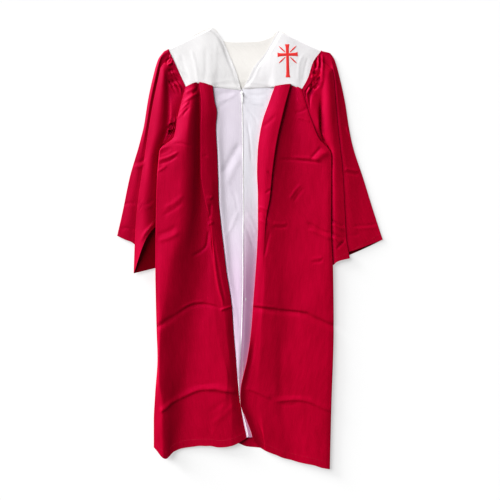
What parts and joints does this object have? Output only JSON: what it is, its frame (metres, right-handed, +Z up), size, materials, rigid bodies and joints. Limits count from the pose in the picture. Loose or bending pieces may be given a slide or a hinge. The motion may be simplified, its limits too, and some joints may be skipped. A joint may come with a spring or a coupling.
{
  "type": "confirmation robe",
  "caption": "Loose zip-front religious gown laid flat, with a V-necked white yoke and centre panels, pleated red fronts and wide bell sleeves, and a hinged zip pull.",
  "frame": {"origin": "middle of the robe's footprint, on the surface that it lies on", "axes": "+Y towards the collar, along the robe's length; +Z up, away from the surface that the robe's back lies on; +X towards the sleeve on the right of a viewer who looks down at the front"},
  "size_m": [0.77, 1.2784, 0.0286],
  "materials": {
    "red polyester": "smooth woven polyester with a soft low sheen",
    "white polyester": "white satin-backed polyester with a soft sheen",
    "off-white polyester": "matt off-white polyester, the cloth's inner side",
    "white tape": "white woven zip tape",
    "white enamel": "glossy white enamel on zinc"
  },
  "bodies": {
    "robe": {"back_panel": "red polyester", "front_red_at_left": "red polyester", "front_red_at_right": "red polyester", "panel_white_at_left": "white polyester", "panel_white_at_right": "white polyester", "sleeve_at_left": "red polyester", "sleeve_at_right": "red polyester", "yoke_back": "off-white polyester", "yoke_front_at_left": "white polyester", "yoke_front_at_right": "white polyester", "zip_slider": "white enamel", "zip_tape": "white tape"},
    "pull_tab": {"zip_pull_tab": "white enamel"}
  },
  "joints": [
    {"name": "pull_tab_hinge", "type": "hinge", "parent": "robe", "child": "pull_tab", "pos_m": [-0.02297, 0.4478, 0.00725], "axis": [-1, 0, 0], "range_deg": [0, 150]}
  ]
}
